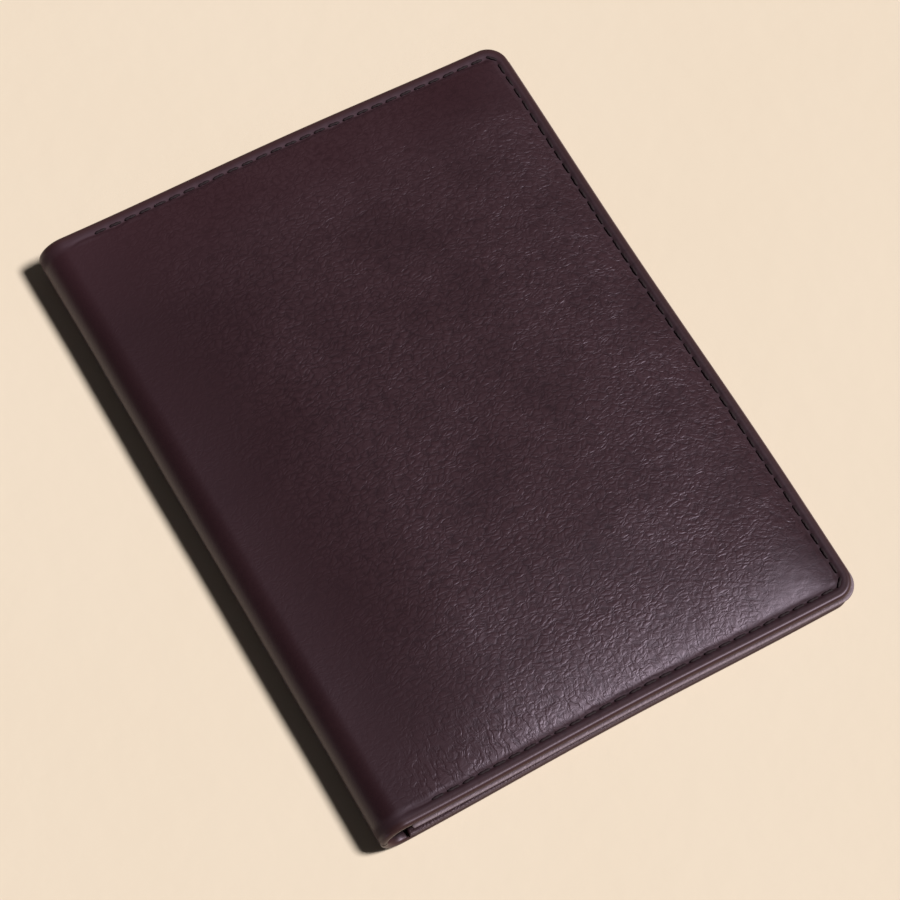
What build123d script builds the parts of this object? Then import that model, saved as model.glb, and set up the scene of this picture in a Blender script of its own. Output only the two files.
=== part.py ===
from build123d import *
import os
from collections import namedtuple
from math import atan2, cos, degrees, radians, sin

# Tall bifold wallet, closed: two stitched leather halves joined by a soft rolled spine.
# Millimetres. +X runs from the spine to the opening edge, +Y along the spine to the open (note) end, +Z is up.
# The back half lies flat on Z = 0. The front half lies on it, sloping down to the opening edge.
# "depth" is counted from a half's outer face towards the other half.

# ---------------------------------------------------------------- overall, closed
WIDTH = 95.0
LENGTH = 125.0
SPINE_THICKNESS = 9.0
EDGE_THICKNESS = 5.6
CORNER_RADIUS = 4.0

# ---------------------------------------------------------------- layers of one half, from the outside in
COVER = 0.9
HEM = 0.45
HEM_WIDTH = 8.0
STIFFENER = 0.2
LINING = 0.15
PANEL = 0.35
SLIP = 0.06
SLIP_STEP = 0.065
POCKET_LEATHER = 0.38
FILM = 0.12
SKIN_GAP = 0.01

PANEL_DEPTH = COVER + HEM
SLIP_DEPTH = PANEL_DEPTH + PANEL
POCKET_DEPTH = SLIP_DEPTH + 0.2

# ---------------------------------------------------------------- outline details
CROWN = 1.2
CROWN_FOOT = 5.0
CROWN_SLOPE = 14.0
PANEL_EDGE = 0.3
PANEL_GUTTER = 1.0
NOTE_ACCESS = 4.0

# ---------------------------------------------------------------- card pockets
CARD_HEIGHT = 53.98
CARD_SHOWS = 11.0
POCKET_PITCH = 14.0
POCKET_TUCK = 3.0
FRONT_MOUTHS = [25.0, 11.0, -3.0, -17.0]
BACK_MOUTHS = [32.0, 18.0]
WINDOW_MOUTH = 4.0
WINDOW_WIDTH = 76.0
WINDOW_HEIGHT = 46.0
WINDOW_SILL = 7.0
WINDOW_RISE = 0.1

# ---------------------------------------------------------------- seams
SEAM_INSET = 2.1
SEAM_START = 5.0
GROOVE_WIDTH = 0.9
GROOVE_DEPTH = 0.3
STITCH_PITCH = 3.0
STITCH_LENGTH = 2.3
STITCH_WIDTH = 0.55
STITCH_HEIGHT = 0.28
POCKET_STITCH_HEIGHT = 0.12
MOUTH_SEAM = 1.6
SIDE_SEAM = 1.0

# ---------------------------------------------------------------- the fold
# Angles round the fold are counted from straight down, past the spine side, to the front half's tangent.
# The rolled leather belongs to the back half up to the first crease and to the front half past the second.
FOLD_RADIUS = SPINE_THICKNESS / 2
FOLD_X = FOLD_RADIUS - WIDTH / 2
BACK_REACH = WIDTH - FOLD_RADIUS
WEDGE = degrees(atan2(SPINE_THICKNESS - EDGE_THICKNESS, BACK_REACH))
FOLD_ANGLE = 180 + WEDGE
BACK_CREASE = FOLD_ANGLE / 4
FRONT_CREASE = FOLD_ANGLE * 3 / 4
SLOPE_SIN = sin(radians(WEDGE))
SLOPE_COS = cos(radians(WEDGE))

# A half's plane lies on its outer face, x from the fold to the opening edge, y along the spine.
# "inward" is +1 or -1: the side of the plane that the other half is on.
Half = namedtuple("Half", "plane inward reach")
BACK = Half(Plane(origin=(FOLD_X, 0, 0), x_dir=(1, 0, 0), z_dir=(0, 0, 1)), 1, BACK_REACH)
FRONT = Half(
    Plane(
        origin=(FOLD_X + FOLD_RADIUS * SLOPE_SIN, 0, FOLD_RADIUS * (1 + SLOPE_COS)),
        x_dir=(SLOPE_COS, 0, -SLOPE_SIN),
        z_dir=(SLOPE_SIN, 0, SLOPE_COS),
    ),
    -1,
    (BACK_REACH - FOLD_RADIUS * SLOPE_SIN) / SLOPE_COS,
)


def level(half, depth):
    """The plane parallel to a half's outer face, at a depth inside it."""
    return half.plane.offset(half.inward * depth)


def outline(left, right, bottom, top, corner):
    """Rectangle in the current sketch, its two corners at the opening edge rounded."""
    with BuildSketch(mode=Mode.PRIVATE) as shape:
        with Locations(((left + right) / 2, (bottom + top) / 2)):
            Rectangle(right - left, top - bottom)
        if corner > 0:
            fillet(shape.vertices().group_by(Axis.X)[-1], radius=corner)
    add(shape.sketch_local)


def inset_outline(half, inset, left=0.0):
    """The half's own outline, drawn in from its three stitched edges."""
    reach = half.reach - inset
    rise = LENGTH / 2 - inset
    outline(left, reach, -rise, rise, CORNER_RADIUS - inset)


def crown_block(half, depth):
    """Low hip-roofed block that lifts a sheet away from the other half inside the seams."""
    foot = (half.reach - 2 * CROWN_FOOT, LENGTH - 2 * CROWN_FOOT)
    centre = half.reach / 2
    with BuildPart(mode=Mode.PRIVATE) as block:
        with BuildSketch(level(half, depth)):
            with Locations((centre, 0)):
                Rectangle(*foot)
        with BuildSketch(level(half, depth - CROWN)):
            with Locations((centre, 0)):
                Rectangle(foot[0] - 2 * CROWN_SLOPE, foot[1] - 2 * CROWN_SLOPE)
        loft()
    return block.part


def arc_sector(outer, inner, start, end):
    """Ring sector around the fold, drawn in the current sketch."""
    def spot(radius, angle):
        return (FOLD_X - radius * sin(radians(angle)), FOLD_RADIUS - radius * cos(radians(angle)))

    middle = (start + end) / 2
    with BuildLine(mode=Mode.PRIVATE) as border:
        ThreePointArc(spot(outer, start), spot(outer, middle), spot(outer, end))
        Line(spot(outer, end), spot(inner, end))
        ThreePointArc(spot(inner, end), spot(inner, middle), spot(inner, start))
        Line(spot(inner, start), spot(outer, start))
    make_face(border.edges())


def rolled_leather(start, end):
    """Rolled spine leather between two angles, thicker at both ends where the hem turns in."""
    with BuildPart(mode=Mode.PRIVATE) as part:
        with BuildSketch(Plane.XZ.offset(-LENGTH / 2)):
            arc_sector(FOLD_RADIUS, FOLD_RADIUS - COVER, start, end)
        extrude(amount=LENGTH)
        for face_y in (LENGTH / 2, HEM_WIDTH - LENGTH / 2):
            with BuildSketch(Plane.XZ.offset(-face_y)):
                arc_sector(FOLD_RADIUS - COVER, FOLD_RADIUS - COVER - HEM, start, end)
            extrude(amount=HEM_WIDTH)
    return part


def rolled_lining(start, end):
    """Woven lining inside the rolled leather between two angles, between the hems."""
    outer = FOLD_RADIUS - COVER - SKIN_GAP
    length = LENGTH - 2 * HEM_WIDTH - 0.4
    with BuildPart(mode=Mode.PRIVATE) as part:
        with BuildSketch(Plane.XZ.offset(-length / 2)):
            arc_sector(outer, outer - LINING, start, end)
        extrude(amount=length)
    return part


def cover(half, roll, crowned):
    """Outer leather of one half: sheet, its share of the roll, hem on three sides, groove, optional crown."""
    with BuildPart() as part:
        with BuildSketch(level(half, 0)):
            inset_outline(half, 0)
        extrude(amount=half.inward * COVER)
        with BuildSketch(level(half, COVER)):
            inset_outline(half, 0)
            with Locations(((half.reach - HEM_WIDTH) / 2, 0)):
                Rectangle(half.reach - HEM_WIDTH, LENGTH - 2 * HEM_WIDTH, mode=Mode.SUBTRACT)
        extrude(amount=half.inward * HEM)
        if crowned:
            add(crown_block(half, 0))
            add(crown_block(half, COVER), mode=Mode.SUBTRACT)
        with BuildSketch(level(half, 0)):
            inset_outline(half, SEAM_INSET - GROOVE_WIDTH / 2, SEAM_START)
            with BuildSketch(mode=Mode.PRIVATE) as field:
                inset_outline(half, SEAM_INSET + GROOVE_WIDTH / 2, SEAM_START)
            add(field.sketch_local, mode=Mode.SUBTRACT)
        extrude(amount=half.inward * GROOVE_DEPTH, mode=Mode.SUBTRACT)
        add(rolled_leather(*roll).part)
    return part


def backing_sheet(half, depth, thickness, crowned):
    """Sheet glued behind the cover, filling the space inside the hem and following the crown."""
    edge = HEM_WIDTH + 0.2
    with BuildPart() as part:
        with BuildSketch(level(half, depth)):
            outline(0.2, half.reach - edge, edge - LENGTH / 2, LENGTH / 2 - edge, 0)
        extrude(amount=half.inward * thickness)
        if crowned:
            add(crown_block(half, depth))
            add(crown_block(half, depth + thickness), mode=Mode.SUBTRACT)
            with BuildSketch(level(half, depth - 2 * CROWN)):
                outline(0.2, half.reach - edge, edge - LENGTH / 2, LENGTH / 2 - edge, 0)
            extrude(amount=half.inward * 4 * CROWN, mode=Mode.INTERSECT)
    return part


def inner_panel(half):
    """Leather panel in front of the notes, lower than the cover at the note opening."""
    with BuildPart() as part:
        with BuildSketch(level(half, PANEL_DEPTH)):
            outline(
                PANEL_GUTTER,
                half.reach - PANEL_EDGE,
                PANEL_EDGE - LENGTH / 2,
                LENGTH / 2 - NOTE_ACCESS,
                CORNER_RADIUS - PANEL_EDGE,
            )
        extrude(amount=half.inward * PANEL)
    return part


def pocket_lift(drop):
    """Height of a pocket's underside above its seat, at a distance below its mouth."""
    run = POCKET_PITCH + POCKET_TUCK
    return POCKET_LEATHER * max(0.0, run - drop) / POCKET_PITCH


def pocket_profile(half, mouth, end, rise):
    """Side view of one pocket: it slopes down from the mouth, then runs flat, raised by rise, to its end."""
    slope = POCKET_PITCH + POCKET_TUCK - rise * POCKET_PITCH / POCKET_LEATHER
    seat = POCKET_DEPTH + rise
    under = [(mouth, POCKET_DEPTH + pocket_lift(0)), (mouth - slope, seat)]
    if end < mouth - slope:
        under.append((end, seat))
    over = [(y, depth + POCKET_LEATHER) for y, depth in reversed(under)]
    points = [(y, half.inward * depth) for y, depth in under + over]
    Polygon(*points, align=None)


def side_plane(half, x):
    """Plane square to a half, at a distance from the fold: its x runs along the spine."""
    return Plane(origin=half.plane.origin, x_dir=(0, 1, 0), z_dir=half.plane.x_dir).offset(x)


def card_pocket(half, mouth, end):
    """Leather card pocket, cut to the half's rounded outline."""
    with BuildPart() as part:
        with BuildSketch(side_plane(half, PANEL_GUTTER)):
            pocket_profile(half, mouth, end, 0)
        extrude(amount=half.reach - PANEL_EDGE - PANEL_GUTTER)
        with BuildSketch(level(half, 0)):
            inset_outline(half, PANEL_EDGE)
        extrude(amount=half.inward * SPINE_THICKNESS, mode=Mode.INTERSECT)
    return part


def pocket_slip(half, mouth, order):
    """Fabric slip that hangs from a pocket's lower edge and holds the card up."""
    top = mouth - POCKET_PITCH - POCKET_TUCK + 2
    floor = mouth + CARD_SHOWS - CARD_HEIGHT - 1
    depth = SLIP_DEPTH + SKIN_GAP + order * SLIP_STEP
    with BuildPart() as part:
        with BuildSketch(level(half, depth)):
            outline(PANEL_GUTTER + 0.2, half.reach - 1.2, floor, top, 0)
        extrude(amount=half.inward * SLIP)
    return part


def window_frame(half):
    """Leather frame of the identity-card pocket."""
    bottom = PANEL_EDGE - LENGTH / 2
    with BuildPart() as part:
        with BuildSketch(side_plane(half, PANEL_GUTTER)):
            pocket_profile(half, WINDOW_MOUTH, bottom, WINDOW_RISE)
        extrude(amount=half.reach - PANEL_EDGE - PANEL_GUTTER)
        with BuildSketch(level(half, 0)):
            inset_outline(half, PANEL_EDGE)
        extrude(amount=half.inward * SPINE_THICKNESS, mode=Mode.INTERSECT)
        with BuildSketch(level(half, 0)):
            with Locations(window_centre(half)):
                RectangleRounded(WINDOW_WIDTH, WINDOW_HEIGHT, 2.5)
        extrude(amount=half.inward * SPINE_THICKNESS, mode=Mode.SUBTRACT)
    return part


def window_centre(half):
    """Middle of the identity-card window on its half."""
    middle = (PANEL_GUTTER + half.reach - PANEL_EDGE) / 2
    return (middle, WINDOW_SILL - LENGTH / 2 + WINDOW_HEIGHT / 2)


def window_film(half):
    """Clear film glued behind the frame, above the slips."""
    with BuildPart() as part:
        with BuildSketch(level(half, POCKET_DEPTH + WINDOW_RISE - SKIN_GAP - FILM)):
            with Locations(window_centre(half)):
                RectangleRounded(WINDOW_WIDTH + 7, WINDOW_HEIGHT + 7, 1.5)
        extrude(amount=half.inward * FILM)
    return part


def stitch_row(start, end, fixed, along_y):
    """Evenly spaced stitch positions between two ends, at the seam's pitch."""
    count = max(1, round(abs(end - start) / STITCH_PITCH))
    step = (end - start) / count
    turn = 90 if along_y else 0
    spots = []
    for index in range(count):
        run = start + (index + 0.5) * step
        spot = (fixed, run) if along_y else (run, fixed)
        spots.append(Location((spot[0], spot[1], 0), (0, 0, turn)))
    return spots


def cover_stitching(half):
    """Topstitching in the cover's groove: two short sides, the long side and one stitch per corner."""
    seam_x = half.reach - SEAM_INSET
    seam_y = LENGTH / 2 - SEAM_INSET
    bend = CORNER_RADIUS - SEAM_INSET
    spots = stitch_row(SEAM_START + 0.5, seam_x - bend, -seam_y, False)
    spots += stitch_row(SEAM_START + 0.5, seam_x - bend, seam_y, False)
    spots += stitch_row(bend - seam_y, seam_y - bend, seam_x, True)
    corner = bend * (1 - cos(radians(45)))
    spots.append(Location((seam_x - corner, corner - seam_y, 0), (0, 0, 45)))
    spots.append(Location((seam_x - corner, seam_y - corner, 0), (0, 0, -45)))
    with BuildPart() as part:
        with BuildSketch(level(half, GROOVE_DEPTH)):
            with Locations(*spots):
                SlotOverall(STITCH_LENGTH, STITCH_WIDTH)
        extrude(amount=-half.inward * STITCH_HEIGHT)
    return part


def pocket_stitching(half, mouths, last_rise):
    """Short thread rows under each pocket mouth and down the gutter side of the pockets."""
    left = PANEL_GUTTER + SIDE_SEAM
    right = half.reach - SEAM_INSET - 3
    bottom = SEAM_INSET - LENGTH / 2
    with BuildPart() as part:
        for index, mouth in enumerate(mouths):
            crest = POCKET_DEPTH + pocket_lift(MOUTH_SEAM - STITCH_WIDTH / 2) + POCKET_LEATHER + SKIN_GAP
            with BuildSketch(level(half, crest)):
                with Locations(*stitch_row(left + 2, right, mouth - MOUTH_SEAM, False)):
                    SlotOverall(STITCH_LENGTH, STITCH_WIDTH)
            extrude(amount=half.inward * POCKET_STITCH_HEIGHT)
            is_last = index + 1 == len(mouths)
            following = bottom if is_last else mouths[index + 1]
            rise = last_rise if is_last else 0
            for spot in stitch_row(mouth - 0.5, following + 0.5, left, True):
                drop = mouth - spot.position.Y - STITCH_LENGTH / 2
                depth = POCKET_DEPTH + max(pocket_lift(drop), rise) + POCKET_LEATHER + SKIN_GAP
                with BuildSketch(level(half, depth)):
                    with Locations(spot):
                        SlotOverall(STITCH_LENGTH, STITCH_WIDTH)
                extrude(amount=half.inward * POCKET_STITCH_HEIGHT)
    return part


# ---------------------------------------------------------------- build and export
BOTTOM = PANEL_EDGE - LENGTH / 2


def pocket_end(mouths, index):
    """A pocket ends just under the next mouth; the last runs to the bottom seam."""
    if index + 1 < len(mouths):
        return mouths[index] - POCKET_PITCH - POCKET_TUCK
    return BOTTOM


pieces = {}
for name, half, roll, crowned in (
    ("back", BACK, (0, BACK_CREASE), False),
    ("front", FRONT, (FRONT_CREASE, FOLD_ANGLE), True),
):
    pieces[f"{name}_cover"] = cover(half, roll, crowned)
    pieces[f"{name}_stiffener"] = backing_sheet(half, COVER + SKIN_GAP, STIFFENER, crowned)
    pieces[f"{name}_lining"] = backing_sheet(half, COVER + STIFFENER + 2 * SKIN_GAP, LINING, crowned)
    pieces[f"{name}_roll_lining"] = rolled_lining(*roll)
    pieces[f"{name}_inner_panel"] = inner_panel(half)
    pieces[f"{name}_cover_stitching"] = cover_stitching(half)
pieces["spine_leather"] = rolled_leather(BACK_CREASE, FRONT_CREASE)
pieces["spine_lining"] = rolled_lining(BACK_CREASE, FRONT_CREASE)

for index, mouth in enumerate(FRONT_MOUTHS):
    pieces[f"front_card_pocket_{index + 1}"] = card_pocket(FRONT, mouth, pocket_end(FRONT_MOUTHS, index))
for index, mouth in enumerate(FRONT_MOUTHS[:-1]):
    pieces[f"front_pocket_slip_{index + 1}"] = pocket_slip(FRONT, mouth, index)
pieces["front_pocket_stitching"] = pocket_stitching(FRONT, FRONT_MOUTHS, 0)

back_mouths = BACK_MOUTHS + [WINDOW_MOUTH]
for index, mouth in enumerate(BACK_MOUTHS):
    pieces[f"back_card_pocket_{index + 1}"] = card_pocket(BACK, mouth, pocket_end(back_mouths, index))
    pieces[f"back_pocket_slip_{index + 1}"] = pocket_slip(BACK, mouth, index)
pieces["id_window_frame"] = window_frame(BACK)
pieces["id_window_film"] = window_film(BACK)
pieces["back_pocket_stitching"] = pocket_stitching(BACK, back_mouths, WINDOW_RISE)

os.makedirs("parts", exist_ok=True)
for name, piece in pieces.items():
    piece.part.label = name
    export_step(piece.part, f"parts/{name}.step")
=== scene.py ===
import math
import random

import bmesh
import bpy
import numpy as np
from mathutils import Matrix, Vector, noise


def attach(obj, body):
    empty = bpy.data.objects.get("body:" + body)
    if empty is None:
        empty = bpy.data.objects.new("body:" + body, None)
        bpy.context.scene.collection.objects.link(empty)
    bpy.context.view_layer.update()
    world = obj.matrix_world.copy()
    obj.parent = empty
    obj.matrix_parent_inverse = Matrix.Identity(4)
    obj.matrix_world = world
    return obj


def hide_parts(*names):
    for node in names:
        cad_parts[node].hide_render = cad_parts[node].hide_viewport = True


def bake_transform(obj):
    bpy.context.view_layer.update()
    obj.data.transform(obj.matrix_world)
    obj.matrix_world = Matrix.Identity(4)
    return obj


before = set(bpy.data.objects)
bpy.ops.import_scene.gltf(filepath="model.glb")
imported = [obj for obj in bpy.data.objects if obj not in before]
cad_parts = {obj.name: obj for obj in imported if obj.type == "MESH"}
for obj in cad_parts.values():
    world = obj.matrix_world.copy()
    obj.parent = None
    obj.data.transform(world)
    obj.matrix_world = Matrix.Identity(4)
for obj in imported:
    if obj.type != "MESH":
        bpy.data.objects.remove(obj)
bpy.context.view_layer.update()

# Tall bifold wallet. Lengths below are millimetres and become metres when a mesh is made.
# A point of a half is (s, y, depth): s along the outer leather from the end of the roll to the opening
# edge (negative in the roll), y along the spine, depth from the outer face towards the other half.
MM = 0.001
UV_PER_MM = 0.1

# -------------------------------- dimensions shared with the CAD
WIDTH = 95.0
LENGTH = 125.0
SPINE_THICKNESS = 9.0
EDGE_THICKNESS = 5.6
CORNER = 4.0
COVER = 0.9
HEM = 0.45
HEM_WIDTH = 8.0
STIFFENER = 0.2
LINING = 0.15
PANEL = 0.35
SLIP = 0.06
SLIP_STEP = 0.065
POCKET = 0.38
GAP = 0.01
PANEL_DEPTH = COVER + HEM
SLIP_DEPTH = PANEL_DEPTH + PANEL
POCKET_DEPTH = SLIP_DEPTH + 0.2
PANEL_EDGE = 0.3
EDGE_SHOW = 0.25
PANEL_LEDGE = 0.55
PANEL_GUTTER = 1.0
NOTE_ACCESS = 4.0
CARD_HEIGHT = 53.98
CARD_SHOWS = 11.0
PITCH = 14.0
TUCK = 3.0
FRONT_MOUTHS = [25.0, 11.0, -3.0, -17.0]
BACK_MOUTHS = [32.0, 18.0]
WINDOW_MOUTH = 4.0
WINDOW_WIDTH = 76.0
WINDOW_HEIGHT = 46.0
WINDOW_SILL = 7.0
WINDOW_RISE = 0.1
SEAM_INSET = 2.1
SEAM_START = 5.0
STITCH_PITCH = 3.0
MOUTH_SEAM = 1.6
SIDE_SEAM = 1.0

# -------------------------------- shape of the outer leather
# The front cover's crown: its height, the flat rim round it, the run of each slope and its roundness.
CROWN = 1.2
CROWN_MARGIN = 2.6
CROWN_END_RUN = 10.5
CROWN_SIDE_RUN = 15.0
CROWN_SPINE_RUN = 28.0
CROWN_END_POWER = 2.2
CROWN_SIDE_POWER = 2.6
# The swell of its lower half: its height, where it starts and ends rising, and how it falls again.
SWELL = 0.9
SWELL_START = 6.5
SWELL_RISE = 26.0
SWELL_TOP = -25.0
SWELL_FALL = 75.0
# The free edges' waver: its height; where it begins, how it grows and its size in s and y; its phases.
WAVER = 0.2
WAVER_FROM = (70.0, 45.0)
WAVER_RUN = (16.0, 15.0)
WAVER_SIZE = (13.0, 15.0)
WAVER_PHASE = (-1.0, -2.56)
# The rolled rim, where the leather turns in.
RIM_RADIUS = (COVER + HEM) / 2
RIM_STEPS = 9
# The seam: its groove, how far from the fold it begins, how it wanders, and the needle holes.
GROOVE_DEPTH = 0.29
GROOVE_HALF_WIDTH = 0.36
GROOVE_SHIFT = 0.16
GROOVE_START = -4.0
GROOVE_RUN = 11.0
WANDER = 0.5
WANDER_SIZE = 3.4
HOLE_DEPTH = 0.11
HOLE_RADIUS = 0.45
HOLE_REACH = 1.6
# The skin: soft undulation, slanted creases by the opening edge, puckers inside the seam.
UNDULATION = 0.10
UNDULATION_SIZE = 26.0
CREASE_DEPTH = 0.018
CREASE_LENGTH = 7.0
CREASE_WIDTH = 1.7
CREASE_TURN = math.radians(28.0)
CREASE_FROM = 42.0
CREASE_RUN = 34.0
CREASE_DRIFT = 2.5
CREASE_DRIFT_SIZE = 9.0
PUCKER_DEPTH = 0.050
PUCKER_WIDTH = 2.2
PUCKER_LENGTH = 3.4
PUCKER_INSET = 7.0
PUCKER_REACH = 5.0
SKIN_SEED = 11.0
# The turned-in hem: how it bunches in the roll, dips under the seam and thins out at its edge.
HEM_BUNCH = 0.5
HEM_DIP = 0.05
HEM_EDGE_FALL = 0.12
HEM_MARGINS = (1.3, 1.8, 2.4, 3.2, 4.5, 6.0, 7.3, HEM_WIDTH - 0.25)
FLESH_MARGINS = (9.5, 12.0, 16.0, 21.0, 28.0, 38.0, 50.0, LENGTH / 2 - 0.02)

# -------------------------------- shape of what is inside
# Room left beside the hem and for rounded edges, then where the slips end and the boards start.
HEM_CLEARANCE = 0.2
EDGE_CLEARANCE = 0.2
SLIP_MARGIN = 1.2
BOARD_START = 3.2
# How far thread rows pull the leather in, and the pressed line below each mouth.
INNER_SEAM_DIP = 0.16
ROW_DIP = 0.10
ROW_DIP_LIMIT = 0.2
MOUTH_LINE = 0.05
MOUTH_LINE_DROP = 0.75
# The identity window and its frame, whose ring has this many points along its four sides.
WINDOW_CORNER = 2.5
WINDOW_SEAM = 1.5
SHARP_CORNERS = (0.05, 0.05, 0.05)
RING_COUNTS = (90, 80, 90, 80)
# Unevenness of the pockets' soft leather.
HAND_WAVE = 0.05
POCKET_SEED = 50.0

# -------------------------------- thread
# A stitch's length, width and height, and the number of points along and around its strand.
COVER_STITCH = (2.35, 0.5, 0.26)
POCKET_STITCH = (2.3, 0.42, 0.2)
STRAND_STATIONS = 13
STRAND_SIDES = 10
PLY_DEPTH = 0.14
PLY_TWIST = 7.0

# Where a stitch's ends lie: above the bottom of the groove, and below the inner face, hem and pocket.
GROOVE_SEAT = 0.12
INNER_SEAT = 0.17
HEM_SEAT = 0.05
POCKET_SEAT = 0.10

# -------------------------------- mesh steps: point spacings, and where finer ones begin
FINE = 0.24
COARSE = 0.56
ROLL_STEP = 0.36
INNER_STEP = 0.8
INNER_FINE = 0.3
INNER_FINE_END = 5.0
MOUTH_FINE = 0.25
CLOTH_STEP = 1.6
CLOTH_ROLL_STEP = 0.5
HIDDEN_STEP = 3.0
FLAT_FROM = 2.0
FINE_END = 7.0
FINE_SIDE = 6.0
TURN_POINTS = 13

# -------------------------------- the roll
RADIUS = SPINE_THICKNESS / 2
FOLD_X = RADIUS - WIDTH / 2
WEDGE = math.atan2(SPINE_THICKNESS - EDGE_THICKNESS, WIDTH - RADIUS)
FOLD_ANGLE = math.pi + WEDGE
HALF_ROLL = RADIUS * FOLD_ANGLE / 2


class Half:
    """One half of the wallet: where its outer face lies and how its part of the roll continues it."""

    def __init__(self, body, front):
        self.body = body
        self.front = front
        slope = WEDGE if front else 0.0
        self.along = np.array([math.cos(slope), 0.0, -math.sin(slope)])
        self.inward = np.array([-math.sin(slope), 0.0, -math.cos(slope) if front else 1.0])
        centre = np.array([FOLD_X, 0.0, RADIUS])
        self.origin = centre - self.inward * RADIUS
        self.reach = WIDTH - RADIUS
        if front:
            self.reach = (self.reach - RADIUS * math.sin(WEDGE)) / math.cos(WEDGE)

    def points(self, s, y, depth):
        """Places in the shared frame, in millimetres, shape (..., 3)."""
        s, y, depth = np.broadcast_arrays(s, y, depth)
        s, y = self.hand_cut(s, y)
        angle = FOLD_ANGLE + s / RADIUS if self.front else -s / RADIUS
        radius = RADIUS - depth
        roll = np.stack([FOLD_X - radius * np.sin(angle), y, RADIUS - radius * np.cos(angle)], -1)
        flat = self.origin + s[..., None] * self.along + depth[..., None] * self.inward
        flat[..., 1] = y
        return np.where((s < 0)[..., None], roll, flat)

    def hand_cut(self, s, y):
        """Moves what is near a free edge a little, so that no edge runs dead straight."""
        by_end = smoothstep((s - WAVER_FROM[0]) / WAVER_RUN[0])
        by_side = smoothstep((np.abs(y) - WAVER_FROM[1]) / WAVER_RUN[1])
        phase = WAVER_PHASE[self.front]
        in_line = s + WAVER * by_end * np.sin(y / WAVER_SIZE[1] + phase)
        return in_line, y + WAVER * by_side * np.sin(self.path(s) / WAVER_SIZE[0] + phase)

    def path(self, s):
        """Length along the outer leather from the middle of the roll; negative on the back half."""
        return (s + HALF_ROLL) * (1 if self.front else -1)


BACK = Half("back", False)
FRONT = Half("front", True)


# -------------------------------- small helpers
def smoothstep(x):
    """Eased step from 0 to 1 as x goes from 0 to 1."""
    t = np.clip(x, 0, 1)
    return t * t * (3 - 2 * t)


def bell(x, width):
    """Smooth hump of height 1 about x = 0."""
    return np.exp(-((x / width) ** 2))


def field_noise(a, b, size_a, size_b, seed):
    """Smooth repeatable noise about 0 at each pair of coordinates, features of the given sizes."""
    a, b = np.broadcast_arrays(a, b)
    flat = [
        noise.fractal(Vector((p / size_a, q / size_b, seed)), 1.0, 2.0, 2)
        for p, q in zip(a.ravel(), b.ravel())
    ]
    return np.array(flat).reshape(a.shape)


def spaced(start, end, step):
    """Evenly spaced values from start to end, about a step apart."""
    count = max(2, int(round(abs(end - start) / step)) + 1)
    return np.linspace(start, end, count)


def joined(*runs):
    """Runs of values joined end to start, without repeating the shared ones."""
    return np.concatenate([runs[0]] + [run[1:] for run in runs[1:]])


def inset(half, s, y):
    """Distance in from the half's stitched outline."""
    to_end = half.reach - s
    to_side = LENGTH / 2 - np.abs(y)
    plain = np.minimum(to_end, to_side)
    round_corner = CORNER - np.hypot(CORNER - to_end, CORNER - to_side)
    return np.where((to_end < CORNER) & (to_side < CORNER), round_corner, plain)


# -------------------------------- mesh making
class MeshParts:
    """Collects vertices given as (s, y, depth) of one half, with faces, into one mesh object."""

    def __init__(self, half):
        self.half = half
        self.points = []
        self.grain = []
        self.border = []
        self.faces = []
        self.count = 0

    def add(self, s, y, depth):
        """Adds a block of vertices and returns their indices in the block's shape."""
        s, y, depth = np.broadcast_arrays(s, y, depth)
        self.points.append(self.half.points(s, y, depth).reshape(-1, 3))
        self.grain.append(np.stack([self.half.path(s), y], -1).reshape(-1, 2))
        self.border.append(np.stack([inset(self.half, s, y), s], -1).reshape(-1, 2))
        index = np.arange(self.count, self.count + s.size).reshape(s.shape)
        self.count += s.size
        return index

    def grid(self, index):
        """Quads over a rectangular block of indices."""
        a, b = index[:-1, :-1].ravel(), index[1:, :-1].ravel()
        c, d = index[1:, 1:].ravel(), index[:-1, 1:].ravel()
        self.faces += np.stack([a, b, c, d], 1).tolist()

    def make(self, name):
        """The finished mesh object, in metres, faces turned outward, with its places in two UV maps."""
        mesh = bpy.data.meshes.new(name)
        points = np.concatenate(self.points) * MM
        mesh.from_pydata(points.tolist(), [], self.faces)
        turned = bmesh.new()
        turned.from_mesh(mesh)
        bmesh.ops.recalc_face_normals(turned, faces=turned.faces)
        turned.to_mesh(mesh)
        turned.free()
        corner = np.zeros(len(mesh.loops), np.int32)
        mesh.loops.foreach_get("vertex_index", corner)
        for layer_name, values in (("grain", self.grain), ("border", self.border)):
            layer = mesh.uv_layers.new(name=layer_name)
            placed = np.concatenate(values)[corner] * UV_PER_MM
            layer.data.foreach_set("uv", placed.astype(np.float32).ravel())
        mesh.polygons.foreach_set("use_smooth", [True] * len(mesh.polygons))
        mesh.update()
        obj = bpy.data.objects.new(name, mesh)
        bpy.context.scene.collection.objects.link(obj)
        return obj


def border(index, closed):
    """Indices of a block's edge: first row, last column, last row back and, if closed, first column."""
    runs = [index[:, 0], index[-1, 1:], index[-2::-1, -1]]
    if closed:
        runs.append(index[0, -2:0:-1])
    return np.concatenate(runs)


def outward(s, y):
    """Unit directions square to a closed border, pointing away from the block."""
    ds, dy = np.roll(s, -1) - np.roll(s, 1), np.roll(y, -1) - np.roll(y, 1)
    size = np.maximum(np.hypot(ds, dy), 1e-9)
    return dy / size, -ds / size


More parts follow.
